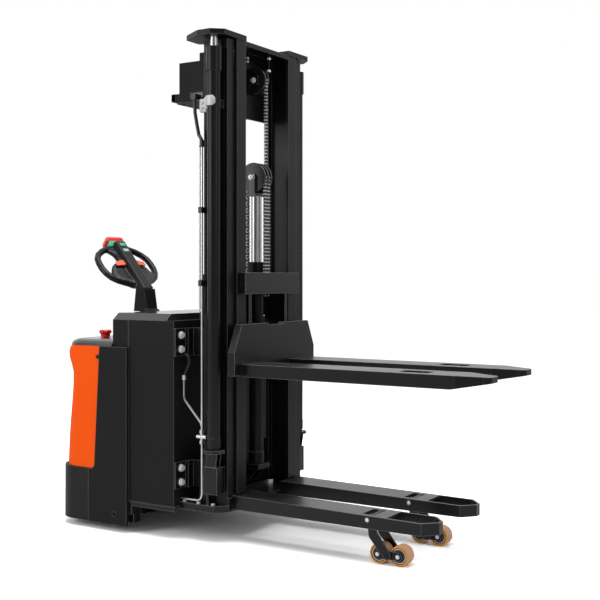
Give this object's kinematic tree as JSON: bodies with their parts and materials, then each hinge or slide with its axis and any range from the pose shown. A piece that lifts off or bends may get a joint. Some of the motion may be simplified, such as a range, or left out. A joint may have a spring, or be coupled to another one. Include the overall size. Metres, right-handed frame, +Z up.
{
  "type": "electric stacker",
  "caption": "Pedestrian electric stacker: two-stage mast, forks on a chain-lifted carriage, folding load wheels, battery box, drive hood and steering tiller.",
  "frame": {"origin": "on the floor, under the middle of the truck's overall box", "axes": "+Z up, +X towards the fork tips, +Y to the truck's left"},
  "size_m": [2.2718, 0.8, 2.28],
  "materials": {
    "black_paint": "satin black powder coat",
    "mast_paint": "dark satin paint",
    "box_paint": "fine textured dark grey powder coat",
    "hood_plastic": "matt moulded black plastic",
    "orange_trim": "satin orange moulding",
    "steel": "bare and zinc plated steel",
    "rod_chrome": "hard chrome",
    "chain_steel": "oiled chain steel",
    "roller_steel": "turned dark steel",
    "wheel_poly": "amber polyurethane tyre on a dark hub",
    "drive_rubber": "black rubber tyre",
    "tiller_plastic": "fine grained black plastic",
    "green_plastic": "green moulding",
    "throttle_plastic": "orange-red moulding",
    "red_plastic": "red moulding",
    "battery_case": "battery case",
    "unit_grey": "cast and painted units"
  },
  "bodies": {
    "chassis": {"base_frame": "black_paint", "right_leg": "black_paint", "left_leg": "black_paint", "right_outer_rail": "mast_paint", "left_outer_rail": "mast_paint", "outer_crossmembers": "mast_paint", "mast_brackets": "black_paint", "chassis_bolts": "steel", "right_lift_cylinder": "black_paint", "left_lift_cylinder": "black_paint", "battery_box": "box_paint", "box_lid": "box_paint", "battery": "battery_case", "pump_unit": "unit_grey", "hood_shell": "hood_plastic", "hood_trims": "orange_trim", "hood_top": "hood_plastic", "bumper": "hood_plastic", "drive_side_panels": "box_paint", "turntable_ring": "unit_grey", "oil_pipes": "steel"},
    "outer_rollers": {"outer_mast_rollers": "roller_steel"},
    "drive": {"drive_unit": "unit_grey", "tiller_base": "black_paint"},
    "drive_wheel": {"drive_wheel": "drive_rubber"},
    "tiller": {"tiller_arm": "black_paint", "tiller_head": "tiller_plastic", "head_trim": "green_plastic"},
    "throttle": {"thumb_throttle": "throttle_plastic"},
    "belly_button": {"belly_button": "red_plastic"},
    "estop": {"estop_button": "red_plastic"},
    "inner_mast": {"right_inner_rail": "mast_paint", "left_inner_rail": "mast_paint", "mast_head": "mast_paint", "inner_crossmembers": "mast_paint", "side_rods": "rod_chrome", "free_lift_tube": "mast_paint", "rear_chain": "chain_steel", "upper_chain": "chain_steel"},
    "inner_rollers": {"inner_mast_rollers": "roller_steel"},
    "lift_rod": {"lift_rod": "rod_chrome"},
    "chain_wheel": {"chain_wheel": "roller_steel"},
    "top_pulley": {"top_pulley": "roller_steel"},
    "carriage": {"carriage": "black_paint", "right_fork": "black_paint", "left_fork": "black_paint", "front_chain": "chain_steel"},
    "upper_rollers": {"upper_carriage_rollers": "roller_steel"},
    "lower_rollers": {"lower_carriage_rollers": "roller_steel"},
    "load_arms": {"load_arms": "black_paint"},
    "right_bogie": {"right_bogie": "black_paint"},
    "left_bogie": {"left_bogie": "black_paint"},
    "right_front_wheel": {"right_front_wheel": "wheel_poly"},
    "right_rear_wheel": {"right_rear_wheel": "wheel_poly"},
    "left_front_wheel": {"left_front_wheel": "wheel_poly"},
    "left_rear_wheel": {"left_rear_wheel": "wheel_poly"},
    "right_caster": {"right_caster": "unit_grey"},
    "left_caster": {"left_caster": "unit_grey"},
    "right_caster_wheel": {"right_caster_wheel": "drive_rubber"},
    "left_caster_wheel": {"left_caster_wheel": "drive_rubber"}
  },
  "joints": [
    {"name": "mast_lift", "type": "slide", "parent": "chassis", "child": "inner_mast", "axis": [0, 0, 1], "range_m": [0, 1.5]},
    {"name": "carriage_lift", "type": "slide", "parent": "inner_mast", "child": "carriage", "axis": [0, 0, 1], "range_m": [-0.576, 0.4], "deforming": ["front_chain"]},
    {"name": "rod_lift", "type": "slide", "parent": "inner_mast", "child": "lift_rod", "axis": [0, 0, 1], "range_m": [-0.29, 0.205], "deforming": ["rear_chain", "upper_chain"]},
    {"name": "chain_wheel_spin", "type": "hinge", "parent": "lift_rod", "child": "chain_wheel", "pos_m": [-0.12711, 0, 1.654], "axis": [0, 1, 0], "range_deg": [-200, 290]},
    {"name": "top_pulley_spin", "type": "hinge", "parent": "inner_mast", "child": "top_pulley", "pos_m": [-0.15411, 0.04, 2.12], "axis": [0, 1, 0], "range_deg": [-215, 310]},
    {"name": "inner_roller_spin", "type": "hinge", "parent": "inner_mast", "child": "inner_rollers", "pos_m": [-0.13911, 0, 0.33], "axis": [0, 1, 0], "range_deg": [-10, 1780]},
    {"name": "outer_roller_spin", "type": "hinge", "parent": "chassis", "child": "outer_rollers", "pos_m": [-0.12711, 0, 2.19], "axis": [0, 1, 0], "range_deg": [-1780, 10]},
    {"name": "upper_roller_spin", "type": "hinge", "parent": "carriage", "child": "upper_rollers", "pos_m": [-0.12711, 0, 1.145], "axis": [0, 1, 0], "range_deg": [-680, 480]},
    {"name": "lower_roller_spin", "type": "hinge", "parent": "carriage", "child": "lower_rollers", "pos_m": [-0.12711, 0, 0.815], "axis": [0, 1, 0], "range_deg": [-680, 480]},
    {"name": "steering", "type": "hinge", "parent": "chassis", "child": "drive", "pos_m": [-0.80411, 0, 0.33], "axis": [0, 0, 1], "range_deg": [-70, 110]},
    {"name": "drive_wheel_spin", "type": "hinge", "parent": "drive", "child": "drive_wheel", "pos_m": [-0.80411, 0, 0.115], "axis": [0.2588, 0.9659, 0], "continuous": true},
    {"name": "tiller_tilt", "type": "hinge", "parent": "drive", "child": "tiller", "pos_m": [-0.80411, 0, 0.968], "axis": [0.2588, 0.9659, 0], "range_deg": [-42, 0], "stiffness_Nm_per_rad": 25, "springref_deg": 28.65},
    {"name": "throttle_turn", "type": "hinge", "parent": "tiller", "child": "throttle", "pos_m": [-0.93342, 0.03465, 1.25892], "axis": [0.2588, 0.9659, 0], "range_deg": [-9, 9], "stiffness_Nm_per_rad": 0.5},
    {"name": "belly_press", "type": "slide", "parent": "tiller", "child": "belly_button", "axis": [0.7064, -0.1893, -0.682], "range_m": [0, 0.003], "stiffness_N_per_m": 800, "springref_m": -0.002},
    {"name": "estop_press", "type": "slide", "parent": "chassis", "child": "estop", "axis": [0, 0, -1], "range_m": [0, 0.002]},
    {"name": "initial_lift", "type": "hinge", "parent": "chassis", "child": "load_arms", "pos_m": [0.60989, 0, 0.186], "axis": [0, 1, 0], "range_deg": [-45, 0]},
    {"name": "right_bogie_rock", "type": "hinge", "parent": "load_arms", "child": "right_bogie", "pos_m": [0.68489, -0.195, 0.042], "axis": [0, 1, 0], "range_deg": [-10, 10]},
    {"name": "right_front_wheel_spin", "type": "hinge", "parent": "right_bogie", "child": "right_front_wheel", "pos_m": [0.73139, -0.195, 0.042], "axis": [0, 1, 0], "continuous": true},
    {"name": "right_rear_wheel_spin", "type": "hinge", "parent": "right_bogie", "child": "right_rear_wheel", "pos_m": [0.63839, -0.195, 0.042], "axis": [0, 1, 0], "continuous": true},
    {"name": "right_caster_swivel", "type": "hinge", "parent": "chassis", "child": "right_caster", "pos_m": [-0.72911, -0.262, 0.2], "axis": [0, 0, 1], "continuous": true},
    {"name": "right_caster_spin", "type": "hinge", "parent": "right_caster", "child": "right_caster_wheel", "pos_m": [-0.76111, -0.262, 0.07], "axis": [0, 1, 0], "continuous": true},
    {"name": "left_bogie_rock", "type": "hinge", "parent": "load_arms", "child": "left_bogie", "pos_m": [0.68489, 0.195, 0.042], "axis": [0, 1, 0], "range_deg": [-10, 10]},
    {"name": "left_front_wheel_spin", "type": "hinge", "parent": "left_bogie", "child": "left_front_wheel", "pos_m": [0.73139, 0.195, 0.042], "axis": [0, 1, 0], "continuous": true},
    {"name": "left_rear_wheel_spin", "type": "hinge", "parent": "left_bogie", "child": "left_rear_wheel", "pos_m": [0.63839, 0.195, 0.042], "axis": [0, 1, 0], "continuous": true},
    {"name": "left_caster_swivel", "type": "hinge", "parent": "chassis", "child": "left_caster", "pos_m": [-0.72911, 0.262, 0.2], "axis": [0, 0, 1], "continuous": true},
    {"name": "left_caster_spin", "type": "hinge", "parent": "left_caster", "child": "left_caster_wheel", "pos_m": [-0.76111, 0.262, 0.07], "axis": [0, 1, 0], "continuous": true}
  ],
  "couplings": [
    {"joint": "rod_lift", "follows": "carriage_lift", "ratio": 0.5},
    {"joint": "chain_wheel_spin", "follows": "carriage_lift", "rad_per_m": -8.6207},
    {"joint": "top_pulley_spin", "follows": "carriage_lift", "rad_per_m": -9.2593},
    {"joint": "inner_roller_spin", "follows": "mast_lift", "rad_per_m": 20.408},
    {"joint": "outer_roller_spin", "follows": "mast_lift", "rad_per_m": -20.408},
    {"joint": "upper_roller_spin", "follows": "carriage_lift", "rad_per_m": 20.408},
    {"joint": "lower_roller_spin", "follows": "carriage_lift", "rad_per_m": 20.408}
  ]
}
